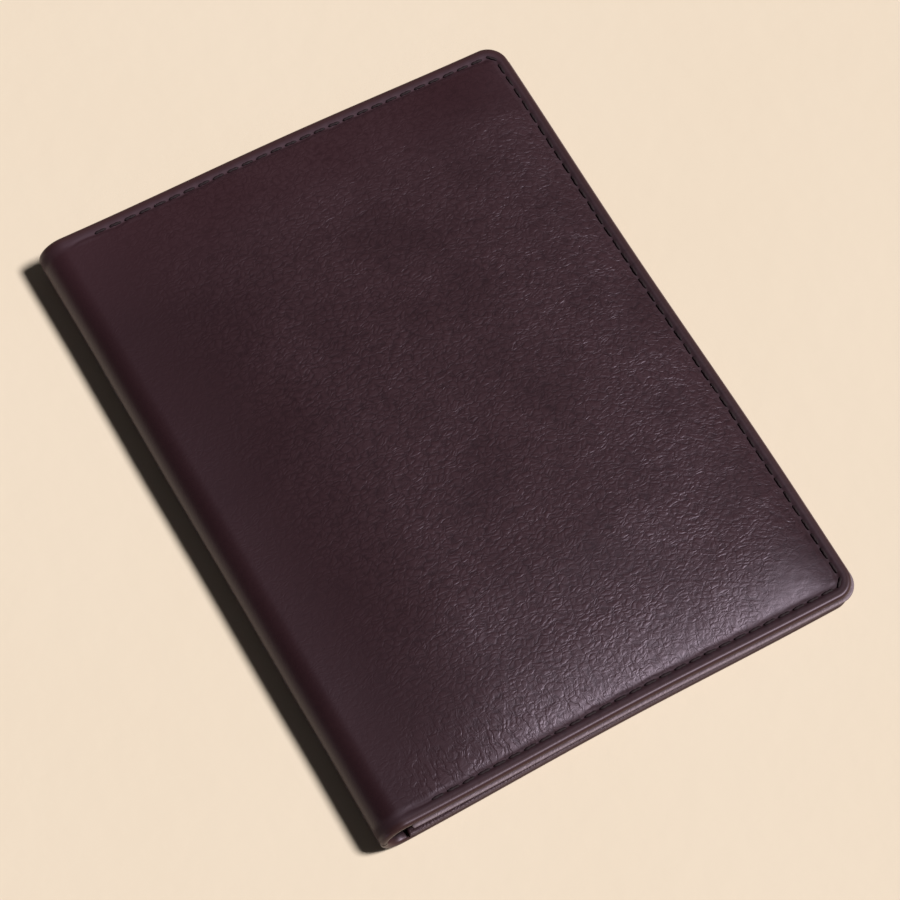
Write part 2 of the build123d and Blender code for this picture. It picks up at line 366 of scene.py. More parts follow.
def rounded_block(columns, rows, low, high, corner, round_low=True, round_high=True):
    """s and y of a block between two y limits whose corners at the last column may be rounded."""
    end = columns[-1]
    bend = np.sqrt(np.maximum(corner**2 - np.maximum(columns - (end - corner), 0) ** 2, 0)) - corner
    below = low - (bend if round_low else 0 * bend)
    above = high + (bend if round_high else 0 * bend)
    share = (rows - rows[0]) / (rows[-1] - rows[0])
    s = np.repeat(columns[:, None], len(rows), 1)
    y = below[:, None] + share[None, :] * (above - below)[:, None]
    return s, y


def corner_columns(start, end, corner, step):
    """Column positions: even up to the rounded corner, then bunched round it."""
    turn = np.linspace(0, math.pi / 2, TURN_POINTS)
    return joined(spaced(start, end - corner, step), end - corner + corner * np.sin(turn))


def thin_sheet(name, half, s, y, near, far, lip=4):
    """Closed thin sheet between two depth fields over one block, with a rounded edge all round."""
    parts = MeshParts(half)
    first, second = parts.add(s, y, near), parts.add(s, y, far)
    parts.grid(first)
    parts.grid(second)
    edge_s, edge_y = (border(v, True) for v in (s, y))
    edge_near, edge_far = (border(v, True) for v in (near + 0 * s, far + 0 * s))
    out_s, out_y = outward(edge_s, edge_y)
    rings = [border(first, True)]
    for step in range(1, lip):
        turn = math.pi * step / lip
        push = (edge_far - edge_near) / 2 * math.sin(turn)
        depth = edge_near + (edge_far - edge_near) * (1 - math.cos(turn)) / 2
        rings.append(parts.add(edge_s + push * out_s, edge_y + push * out_y, depth))
    rings.append(border(second, True))
    ring_block = np.stack(rings, 1)
    ring_block = np.concatenate([ring_block, ring_block[:1]])
    parts.grid(ring_block)
    return parts.make(name)


# -------------------------------- shape of the outer leather
def crown(half, s, y):
    """How far the front cover stands proud: the crown inside its seams and its swollen lower half."""
    if not half.front:
        return 0 * s
    end_share = np.clip((half.reach - s - CROWN_MARGIN) / CROWN_END_RUN, 0, 1)
    side_share = np.clip((LENGTH / 2 - np.abs(y) - CROWN_MARGIN) / CROWN_SIDE_RUN, 0, 1)
    over_ends = 1 - (1 - end_share) ** CROWN_END_POWER
    over_sides = 1 - (1 - side_share) ** CROWN_SIDE_POWER
    crowned = CROWN * over_ends * over_sides * smoothstep(s / CROWN_SPINE_RUN)
    risen = smoothstep((y + LENGTH / 2 - SWELL_START) / SWELL_RISE)
    fallen = smoothstep((y - SWELL_TOP) / SWELL_FALL)
    over_width = smoothstep((s - 2.0) / 24.0) * smoothstep((half.reach - s - CROWN_MARGIN) / 30.0)
    return crowned + SWELL * (risen * (1 - fallen)) * over_width


def seam_line(half):
    """Stitch places round the three stitched sides of a half as (s, y, angle)."""
    end_s, end_y = half.reach - SEAM_INSET, LENGTH / 2 - SEAM_INSET
    bend = CORNER - SEAM_INSET

    def run(start, end):
        count = round(abs(end - start) / STITCH_PITCH)
        return start + (np.arange(count) + 0.5) * (end - start) / count

    short = run(SEAM_START + 0.5, end_s - bend)
    tight = bend * (1 - math.cos(math.pi / 4))
    places = [(s, -end_y, 0.0) for s in short]
    places.append((end_s - tight, tight - end_y, math.pi / 4))
    places += [(end_s, y, math.pi / 2) for y in run(bend - end_y, end_y - bend)]
    places.append((end_s - tight, end_y - tight, 3 * math.pi / 4))
    places += [(s, end_y, math.pi) for s in short[::-1]]
    return places


def seam_holes(half):
    """Needle holes: midway between neighbouring stitches."""
    line = seam_line(half)
    return [((a[0] + b[0]) / 2, (a[1] + b[1]) / 2) for a, b in zip(line, line[1:])]


def seam_relief(half, s, y):
    """Outward offset of the face by the seam: groove under the thread and needle holes."""
    from_rim = inset(half, s, y)
    begun = smoothstep((s - GROOVE_START) / GROOVE_RUN)
    wander = WANDER * field_noise(half.path(s), y, WANDER_SIZE, WANDER_SIZE, 4.0)
    wander *= smoothstep((from_rim - 1.6) / 1.2)
    relief = -GROOVE_DEPTH * bell(from_rim - SEAM_INSET - GROOVE_SHIFT + wander, GROOVE_HALF_WIDTH)
    near = np.abs(from_rim - SEAM_INSET) < HOLE_REACH
    holes = np.array(seam_holes(half))
    spot = np.stack([s[near], y[near]], -1)
    gap = np.sqrt(((spot[:, None, :] - holes[None, :, :]) ** 2).sum(-1)).min(1)
    relief[near] -= HOLE_DEPTH * bell(gap, HOLE_RADIUS)
    return relief * begun


def skin_relief(half, s, y):
    """Outward offset of the skin: undulation, creases by the opening edge, puckers by the seam."""
    path = half.path(s)
    from_rim = inset(half, s, y)
    calm = smoothstep(from_rim / 3.5)
    soft = UNDULATION * field_noise(path, y, UNDULATION_SIZE, UNDULATION_SIZE, SKIN_SEED) * calm
    by_edge = smoothstep((s - CREASE_FROM) / CREASE_RUN) * calm
    down, across = math.cos(CREASE_TURN), math.sin(CREASE_TURN)
    drift = CREASE_DRIFT * field_noise(path, y, CREASE_DRIFT_SIZE, CREASE_DRIFT_SIZE, SKIN_SEED + 3)
    along_crease = path * down - y * across + drift
    over_crease = path * across + y * down
    crease = field_noise(along_crease, over_crease, CREASE_LENGTH, CREASE_WIDTH, SKIN_SEED + 1)
    by_seam = bell(from_rim - PUCKER_INSET, PUCKER_REACH) * smoothstep((s - 8.0) / 10.0)
    pucker = field_noise(path, y, PUCKER_WIDTH, PUCKER_LENGTH, SKIN_SEED + 2)
    creased = soft - CREASE_DEPTH * by_edge * np.abs(crease)
    return creased - PUCKER_DEPTH * by_seam * np.abs(pucker) * calm


def outer_depth(half, s, y):
    """Depth of the outer leather's face, negative where it stands proud. None goes into the table."""
    depth = -(crown(half, s, y) + seam_relief(half, s, y) + skin_relief(half, s, y))
    if not half.front:
        depth = np.maximum(depth, -np.minimum(s, 0) ** 2 / (2 * RADIUS))
    return depth


def ring_at(half, columns, rows, margin):
    """The outline's open border drawn in by a margin, with one point per border point of the face."""
    turn_in = max(margin, CORNER)
    bend = max(CORNER - margin, 0.0)
    full = half.reach - CORNER
    straight = columns[columns <= full + 1e-6]
    turn = np.arcsin(np.clip((columns[len(straight):] - full) / (CORNER - RIM_RADIUS), 0, 1))
    squeeze = (half.reach - turn_in - FLAT_FROM) / (full - FLAT_FROM)
    flat_s = np.where(straight < FLAT_FROM, straight, FLAT_FROM + (straight - FLAT_FROM) * squeeze)
    low = -(LENGTH / 2 - margin)
    bottom_s = np.concatenate([flat_s, half.reach - turn_in + bend * np.sin(turn)])
    bottom_y = np.concatenate([0 * flat_s + low, turn_in - LENGTH / 2 - bend * np.cos(turn)])
    rise = rows[1:-1] * (LENGTH / 2 - turn_in)
    side_s = 0 * rise + half.reach - turn_in + bend
    s = np.concatenate([bottom_s, side_s, bottom_s[::-1]])
    y = np.concatenate([bottom_y, rise, -bottom_y[::-1]])
    return s, y


def outer_leather(name, half):
    """Cover and half of the roll in one skin: face, rolled rim, turned-in hem and flesh side."""
    columns = joined(
        spaced(-HALF_ROLL, FLAT_FROM, ROLL_STEP),
        spaced(FLAT_FROM, half.reach - FINE_END, COARSE),
        corner_columns(half.reach - FINE_END, half.reach - RIM_RADIUS, CORNER - RIM_RADIUS, FINE),
    )
    top = LENGTH / 2 - RIM_RADIUS
    side = spaced(0.0, FINE_SIDE, FINE)
    rows = joined(side - top, spaced(FINE_SIDE - top, top - FINE_SIDE, COARSE), top - side[::-1]) / top
    s, y = rounded_block(columns, rows, -top, top, CORNER - RIM_RADIUS)
    parts = MeshParts(half)
    depth = outer_depth(half, s, y)
    face = parts.add(s, y, depth)
    parts.grid(face)

    edge_depth = border(depth, False)
    rings = [border(face, False)]
    for step in range(1, RIM_STEPS + 1):
        turn = math.pi * step / RIM_STEPS
        margin = RIM_RADIUS * (1 - math.sin(turn))
        level = RIM_RADIUS * (1 - math.cos(turn))
        ring_s, ring_y = ring_at(half, columns, rows, margin)
        rings.append(parts.add(ring_s, ring_y, level + edge_depth * max(0.0, math.cos(turn))))
    for margin in HEM_MARGINS:
        ring_s, ring_y = ring_at(half, columns, rows, margin)
        dip = HEM_DIP * bell(margin - SEAM_INSET, 0.4)
        gathered = math.sin(math.pi * margin / HEM_WIDTH) ** 0.7
        bunch = HEM_BUNCH * gathered * smoothstep((0.6 - ring_s) / 3.0)
        rings.append(parts.add(ring_s, ring_y, level - dip + bunch))
    ring_s, ring_y = ring_at(half, columns, rows, HEM_WIDTH)
    rings.append(parts.add(ring_s, ring_y, level - HEM_EDGE_FALL))
    for margin in (HEM_WIDTH, *FLESH_MARGINS):
        ring_s, ring_y = ring_at(half, columns, rows, margin)
        rings.append(parts.add(ring_s, ring_y, COVER - crown(half, ring_s, ring_y)))
    parts.grid(np.stack(rings, 1))
    return parts.make(name), face


def seam_normals(obj, face):
    """Takes the normals along the cut in the roll from the roll itself, so both skins shade as one."""
    mesh = obj.data
    normals = np.zeros((len(mesh.vertices), 3), np.float32)
    middle = FOLD_ANGLE / 2
    normals[face[0]] = (-math.sin(middle), 0.0, -math.cos(middle))
    mesh.normals_split_custom_set_from_vertices(normals.tolist())


# -------------------------------- shape of what is inside
def lining_sheet(name, half):
    """Woven lining behind the cover and round its half of the roll, between the hems."""
    edge = HEM_WIDTH + HEM_CLEARANCE
    columns = joined(
        spaced(-HALF_ROLL, 0.0, CLOTH_ROLL_STEP),
        spaced(0.0, half.reach - edge, CLOTH_STEP),
    )
    rows = spaced(edge - LENGTH / 2, LENGTH / 2 - edge, CLOTH_STEP)
    s, y = np.meshgrid(columns, rows, indexing="ij")
    near = COVER + (STIFFENER + 2 * GAP) * smoothstep(s / 3.0) + GAP - crown(half, s, y)
    return thin_sheet(name, half, s, y, near, near + LINING, lip=2)


def stiffener_sheet(name, half):
    """Thin board glued behind the cover, following its crown."""
    edge = HEM_WIDTH + HEM_CLEARANCE
    columns = spaced(BOARD_START, half.reach - edge, HIDDEN_STEP)
    rows = spaced(edge - LENGTH / 2, LENGTH / 2 - edge, HIDDEN_STEP)
    s, y = np.meshgrid(columns, rows, indexing="ij")
    near = COVER + GAP - crown(half, s, y)
    return thin_sheet(name, half, s, y, near, near + STIFFENER, lip=2)


def seam_dip(half, s, y):
    """Dip under the inner run of the cover seam."""
    begun = smoothstep((s - SEAM_START + 1.0) / 2.0)
    return INNER_SEAM_DIP * bell(inset(half, s, y) - SEAM_INSET, 0.4) * begun


def leather_block(half, low, high, round_low, ledge=0.0):
    """Block of a smooth leather piece from the gutter to the opening edge, or a ledge beyond it."""
    end = half.reach - EDGE_SHOW + ledge
    fine_from = end - INNER_FINE_END
    columns = joined(
        spaced(PANEL_GUTTER + EDGE_CLEARANCE, fine_from, INNER_STEP),
        corner_columns(fine_from, end, CORNER - EDGE_SHOW, INNER_FINE),
    )
    rows = joined(
        spaced(low, low + 4, INNER_FINE),
        spaced(low + 4, high - 3, INNER_STEP),
        spaced(high - 3, high, MOUTH_FINE),
    )
    return rounded_block(columns, rows, low, high, CORNER - EDGE_SHOW, round_low, False)


def hand_wave(half, s, y, seed):
    """Slight unevenness of a soft inner leather."""
    return HAND_WAVE * field_noise(half.path(s), y, 15.0, 15.0, seed)


def panel_sheet(name, half):
    """Inner leather panel in front of the notes."""
    ledge = PANEL_LEDGE if half.front else 0.0
    low = EDGE_SHOW - ledge - LENGTH / 2
    s, y = leather_block(half, low, LENGTH / 2 - NOTE_ACCESS - EDGE_CLEARANCE, True, ledge)
    near = PANEL_DEPTH + GAP + 0 * s
    far = near + PANEL - 2 * GAP - seam_dip(half, s, y)
    return thin_sheet(name, half, s, y, near, far)


def pocket_lift(drop):
    """Height of a pocket's underside above its seat, at a distance below its mouth."""
    return POCKET * np.maximum(0.0, PITCH + TUCK - drop) / PITCH


def pocket_depth(mouth, y, rise):
    """Depth of a pocket's underside."""
    return POCKET_DEPTH + np.maximum(pocket_lift(mouth - y), rise)


def mouth_finish(mouth, y):
    """Relief of a pocket's mouth: a pressed line above the thread row and a soft dip under it."""
    drop = mouth - y
    return MOUTH_LINE * bell(drop - MOUTH_LINE_DROP, 0.16) + ROW_DIP * bell(drop - MOUTH_SEAM, 0.32)


def side_dip(s):
    """Dip under the thread row at the gutter side of the pockets."""
    return ROW_DIP * bell(s - PANEL_GUTTER - SIDE_SEAM, 0.35)


def pocket_sheet(name, half, mouth, end, seed):
    """Leather card pocket with a pressed line under its mouth."""
    lowest = end < mouth - PITCH - TUCK - 1
    s, y = leather_block(half, end + EDGE_CLEARANCE, mouth - EDGE_CLEARANCE, lowest)
    near = pocket_depth(mouth, y, 0.0)
    dip = np.maximum(seam_dip(half, s, y), side_dip(s)) + mouth_finish(mouth, y)
    far = near + POCKET - np.minimum(dip, ROW_DIP_LIMIT) - np.abs(hand_wave(half, s, y, seed))
    return thin_sheet(name, half, s, y, near, far)


def slip_sheet(name, half, mouth, order):
    """Fabric slip that holds a card up behind its pocket."""
    top = mouth - PITCH - TUCK + 2
    floor = mouth + CARD_SHOWS - CARD_HEIGHT - 1
    columns = spaced(PANEL_GUTTER + EDGE_CLEARANCE, half.reach - SLIP_MARGIN, HIDDEN_STEP)
    s, y = np.meshgrid(columns, spaced(floor, top, HIDDEN_STEP), indexing="ij")
    near = SLIP_DEPTH + GAP + order * SLIP_STEP + 0 * s
    return thin_sheet(name, half, s, y, near, near + SLIP, lip=2)


def rounded_loop(low_s, high_s, low_y, high_y, radii, side_counts):
    """Closed loop round a rectangle: bottom, right, top, left, with a quarter turn after each side."""
    corners = [(high_s, low_y), (high_s, high_y), (low_s, high_y), (low_s, low_y)]
    inward = [(-1, 1), (-1, -1), (1, -1), (1, 1)]
    loop = []
    for side in range(4):
        previous = side - 1
        start = np.array(corners[previous], float)
        end = np.array(corners[side], float)
        direction = (end - start) / np.linalg.norm(end - start)
        start = start + direction * radii[previous]
        end = end - direction * radii[side]
        for share in np.arange(side_counts[side]) / side_counts[side]:
            loop.append(start + (end - start) * share)
        centre = np.array(corners[side], float) + np.array(inward[side]) * radii[side]
        first = -math.pi / 2 + side * math.pi / 2
        for turn in first + np.linspace(0, math.pi / 2, 7)[:-1]:
            loop.append(centre + radii[side] * np.array([math.cos(turn), math.sin(turn)]))
    return np.array(loop)


def window_middle(half):
    """Middle of the identity window as (s, y)."""
    middle_s = (PANEL_GUTTER + half.reach - PANEL_EDGE) / 2
    return middle_s, WINDOW_SILL - LENGTH / 2 + WINDOW_HEIGHT / 2


def window_ring(name, half):
    """Leather frame of the identity pocket: a ring round the window, rounded at both edges."""
    low, end = EDGE_SHOW - LENGTH / 2, half.reach - EDGE_SHOW
    start, mouth = PANEL_GUTTER + EDGE_CLEARANCE, WINDOW_MOUTH - EDGE_CLEARANCE
    outer = rounded_loop(start, end, low, mouth, (CORNER - EDGE_SHOW, *SHARP_CORNERS), RING_COUNTS)
    middle_s, middle_y = window_middle(half)
    wide, tall = WINDOW_WIDTH / 2 + EDGE_CLEARANCE, WINDOW_HEIGHT / 2 + EDGE_CLEARANCE
    sides = (middle_s - wide, middle_s + wide, middle_y - tall, middle_y + tall)
    inner = rounded_loop(*sides, (WINDOW_CORNER,) * 4, RING_COUNTS)
    shares = np.concatenate([np.linspace(0, 0.5, 16), np.linspace(0.5, 1, 14)[1:]])
    block = outer[:, None, :] + shares[None, :, None] * (inner - outer)[:, None, :]
    block = np.concatenate([block, block[:1]])
    s, y = block[..., 0], block[..., 1]
    near = pocket_depth(WINDOW_MOUTH, y, WINDOW_RISE)
    from_window = np.maximum(np.abs(s - middle_s) - wide, np.abs(y - middle_y) - tall)
    dip = np.maximum(seam_dip(half, s, y), side_dip(s)) + mouth_finish(WINDOW_MOUTH, y)
    dip += ROW_DIP * bell(from_window - (WINDOW_SEAM - EDGE_CLEARANCE), 0.3)
    far = near + POCKET - np.minimum(dip, ROW_DIP_LIMIT)
    parts = MeshParts(half)
    first, second = parts.add(s, y, near), parts.add(s, y, far)
    parts.grid(first)
    parts.grid(second)
    for column, sign in ((0, 1), (-1, -1)):
        out_s, out_y = outward(s[:-1, column], y[:-1, column])
        rings = [first[:, column]]
        for turn in (math.pi / 4, math.pi / 2, 3 * math.pi / 4):
            push = sign * POCKET / 2 * math.sin(turn)
            depth = near[:-1, column] + (far - near)[:-1, column] * (1 - math.cos(turn)) / 2
            ring = parts.add(s[:-1, column] + push * out_s, y[:-1, column] + push * out_y, depth)
            rings.append(np.concatenate([ring, ring[:1]]))
        rings.append(second[:, column])
        parts.grid(np.stack(rings, 1))
    return parts.make(name)


def inner_face_depth(half, s, y):
    """Depth of the visible inner face at a place: panel, pocket or window frame."""
    depth = SLIP_DEPTH
    mouths = FRONT_MOUTHS if half.front else BACK_MOUTHS + [WINDOW_MOUTH]
    for index, mouth in enumerate(mouths):
        last = index + 1 == len(mouths)
        end = -LENGTH / 2 if last else mouth - PITCH - TUCK
        rise = WINDOW_RISE if last and not half.front else 0.0
        if end < y < mouth and s > PANEL_GUTTER:
            depth = float(pocket_depth(mouth, np.array(y), rise)) + POCKET
    return depth


# -------------------------------- thread
def stitches(name, half, places, size):
    """Thread stitches as separate twisted strands. A place is (s, y, angle, depth, side)."""
    length, width, height = size
    pick = random.Random(len(places) * 7 + half.front)
    run = np.linspace(-1, 1, STRAND_STATIONS)
    turn = np.linspace(0, 2 * math.pi, STRAND_SIDES, endpoint=False)
    parts = MeshParts(half)
    for s0, y0, angle, depth, side in places:
        lean = angle + pick.uniform(-0.05, 0.05)
        phase = pick.uniform(0, math.pi)
        arch = height * (1 - np.abs(run) ** 2.6)
        thick = np.sqrt(np.maximum(1 - np.abs(run) ** 6, 0.02))
        ply = 1 + PLY_DEPTH * np.cos(2 * turn[None, :] - phase - PLY_TWIST * run[:, None])
        across = 0.5 * width * thick[:, None] * np.cos(turn)[None, :] * ply
        upward = 0.5 * height * thick[:, None] * np.sin(turn)[None, :] * ply
        lengthwise = 0.5 * length * run[:, None] + 0 * across
        s = s0 + lengthwise * math.cos(lean) - across * math.sin(lean)
        y = y0 + lengthwise * math.sin(lean) + across * math.cos(lean)
        raised = depth + side * (arch[:, None] * 0.55 + upward)
        block = parts.add(s, y, raised)
        parts.grid(np.concatenate([block, block[:, :1]], 1))
        parts.faces += [block[0].tolist(), block[-1].tolist()]
    return parts.make(name)


def cover_seam(name, half):
    """Both runs of the cover seam: in the outer groove and on the inner face."""
    places = []
    for s, y, angle in seam_line(half):
        places.append((s, y, angle, GROOVE_DEPTH - GROOVE_SEAT, -1))
        if y < LENGTH / 2 - NOTE_ACCESS:
            places.append((s, y, angle, inner_face_depth(half, s, y) - INNER_SEAT, 1))
        else:
            places.append((s, y, angle, PANEL_DEPTH - HEM_SEAT, 1))
    return stitches(name, half, places, COVER_STITCH)


def pocket_seams(name, half):
    """Thread rows under each mouth, down the gutter side and round the identity window."""
    mouths = FRONT_MOUTHS if half.front else BACK_MOUTHS + [WINDOW_MOUTH]
    left = PANEL_GUTTER + SIDE_SEAM
    right = half.reach - SEAM_INSET - 3
    spots = []
    for index, mouth in enumerate(mouths):
        spots += [(s, mouth - MOUTH_SEAM, 0.0) for s in spaced(left + 3.5, right, STITCH_PITCH)]
        following = mouths[index + 1] if index + 1 < len(mouths) else SEAM_INSET - LENGTH / 2
        spots += [(left, y, math.pi / 2) for y in spaced(mouth - 2.0, following + 2.0, STITCH_PITCH)]
    if not half.front:
        middle_s, middle_y = window_middle(half)
        wide, tall = WINDOW_WIDTH / 2 + WINDOW_SEAM, WINDOW_HEIGHT / 2 + WINDOW_SEAM
        level = spaced(middle_s - wide + 2, middle_s + wide - 2, STITCH_PITCH)
        upright = spaced(middle_y - tall + 2, middle_y + tall - 2, STITCH_PITCH)
        for sign in (-1, 1):
            spots += [(s, middle_y + sign * tall, 0.0) for s in level]
            spots += [(middle_s + sign * wide, y, math.pi / 2) for y in upright]
    places = [(s, y, angle, inner_face_depth(half, s, y) - POCKET_SEAT, 1) for s, y, angle in spots]
    return stitches(name, half, places, POCKET_STITCH)


# -------------------------------- materials
# Colours, and how deep each relief is in metres.
# Painted shade for the hollows of the grain.
LEATHER_PIT_SHADE = (0.0150, 0.0055, 0.0070, 1)
LEATHER_DEEP = (0.0255, 0.0099, 0.0122, 1)
LEATHER_BASE = (0.0290, 0.0116, 0.0140, 1)
# Partly wear, partly a painted highlight on the peaks of the grain.
LEATHER_WEAR_AND_HIGHLIGHT = (0.0520, 0.0250, 0.0300, 1)
# Partly wear, partly painted light: the brown glow of the rim lit from the floor.
LEATHER_RIM_WEAR_AND_LIGHT = (0.0590, 0.0280, 0.0255, 1)
LEATHER_TOP = (0.0400, 0.0158, 0.0196, 1)
CALF_DARK = (0.0300, 0.0125, 0.0145, 1)
CALF_LIGHT = (0.0360, 0.0155, 0.0175, 1)
CALF_WORN = (0.050, 0.0235, 0.026, 1)
# Pale edge of the calf: partly edge wear, partly a painted highlight line.
CALF_EDGE_WEAR_AND_HIGHLIGHT = (0.200, 0.150, 0.165, 1)
THREAD_DARK = (0.010, 0.005, 0.006, 1)
THREAD_LIGHT = (0.028, 0.014, 0.017, 1)
LINING_DARK = (0.014, 0.0075, 0.0085, 1)
LINING_LIGHT = (0.028, 0.016, 0.017, 1)
SLIP_DARK = (0.018, 0.011, 0.012, 1)
SLIP_LIGHT = (0.030, 0.019, 0.020, 1)
BOARD_DARK = (0.22, 0.15, 0.10, 1)
BOARD_LIGHT = (0.42, 0.33, 0.24, 1)
FILM_TINT = (0.93, 0.95, 0.95, 1)
PAPER_DARK = (0.86, 0.72, 0.54, 1)
PAPER_LIGHT = (0.90, 0.77, 0.60, 1)
COVER_GRAIN = 0.000066
CALF_GRAIN = 0.00005
WEAVE_DEPTH = 0.00008
THREAD_FIBRE = 0.00004
BOARD_FIBRE = 0.00005
FILM_WAVE = 0.0004
PAPER_TOOTH = 0.0004


class Finish:
    """A procedural material: its Principled shader, and short ways to add nodes and link them to it."""

    def __init__(self, name):
        self.material = bpy.data.materials.new(name)
        self.material.use_nodes = True
        self.tree = self.material.node_tree
        self.shader = self.tree.nodes["Principled BSDF"]

    def feed(self, socket, value):
        """Links a socket to a node's output, or sets a fixed value on it."""
        if isinstance(value, bpy.types.NodeSocket):
            self.tree.links.new(value, socket)
        else:
            socket.default_value = value

    def node(self, kind, *values, settings=None, **named):
        """A new node, its sockets fed in order or by name."""
        made = self.tree.nodes.new(kind)
        for key, value in (settings or {}).items():
            setattr(made, key, value)
        for socket, value in zip(made.inputs, values):
            self.feed(socket, value)
        for key, value in named.items():
            self.feed(made.inputs[key], value)
        return made

    def shade(self, target, value):
        """Links or sets one of the shader's own sockets."""
        self.feed(self.shader.inputs[target], value)

    def bump(self, height, distance, strength=1.0):
        """Shades the surface as if it had this relief."""
        made = self.node("ShaderNodeBump", Strength=strength, Distance=distance, Height=height)
        self.shade("Normal", made.outputs[0])

    def layer(self, name):
        """Place on the piece from one of its UV maps, in centimetres."""
        return self.node("ShaderNodeUVMap", settings={"uv_map": name}).outputs[0]

    def object_place(self):
        """Place in the object's own metres."""
        return self.node("ShaderNodeTexCoord").outputs["Object"]

    def split(self, vector):
        """A vector's numbers, one output each."""
        return self.node("ShaderNodeSeparateXYZ", vector).outputs

    def mapped(self, vector, scale=(1.0, 1.0), turn=0.0):
        """Coordinates turned and then stretched by two factors."""
        settings = {"Rotation": (0.0, 0.0, turn), "Scale": (*scale, 1.0)}
        return self.node("ShaderNodeMapping", Vector=vector, **settings).outputs[0]

    def warped(self, place, scale, reach):
        """Coordinates pulled about by noise."""
        drift = self.node("ShaderNodeTexNoise", Vector=place, Scale=scale, Detail=2.0).outputs[1]
        settings = {"operation": "MULTIPLY"}
        shift = self.node("ShaderNodeVectorMath", drift, (reach, reach, 0.0), settings=settings)
        return self.node("ShaderNodeVectorMath", place, shift.outputs[0]).outputs[0]

    def noise(self, vector, scale, detail=2.0, roughness=0.5):
        """Soft random values about 0.5."""
        settings = {"Scale": scale, "Detail": detail, "Roughness": roughness}
        return self.node("ShaderNodeTexNoise", Vector=vector, **settings).outputs[0]

    def cells(self, vector, scale):
        """Distance to the border between neighbouring cells."""
        settings = {"feature": "DISTANCE_TO_EDGE"}
        made = self.node("ShaderNodeTexVoronoi", settings=settings, Vector=vector, Scale=scale)
        return made.outputs[0]

    def wave(self, vector, direction, scale, distortion=0.0):
        """Parallel waves between 0 and 1."""
        made = self.node("ShaderNodeTexWave", Vector=vector, Scale=scale, Distortion=distortion)
        made.bands_direction = direction
        return made.outputs[1]

    def maths(self, kind, first, second=0.0):
        return self.node("ShaderNodeMath", first, second, settings={"operation": kind}).outputs[0]

    def times(self, first, second):
        return self.maths("MULTIPLY", first, second)

    def plus(self, first, second):
        return self.maths("ADD", first, second)

    def ramp(self, value, low, high, to_low=0.0, to_high=1.0):
        """A value mapped from one range to another, held at the ends."""
        return self.node("ShaderNodeMapRange", value, low, high, to_low, to_high).outputs[0]

    def creased(self, value):
        """0 along the lines where a noise crosses its middle, 1 away from them."""
        return self.ramp(self.maths("ABSOLUTE", self.maths("SUBTRACT", value, 0.5)), 0.0, 0.09)

    def blended(self, share, first, second):
        """One colour turning into another."""
        mix = self.node("ShaderNodeMix", share, settings={"data_type": "RGBA"})
        self.feed(mix.inputs[6], first)
        self.feed(mix.inputs[7], second)
        return mix.outputs[2]


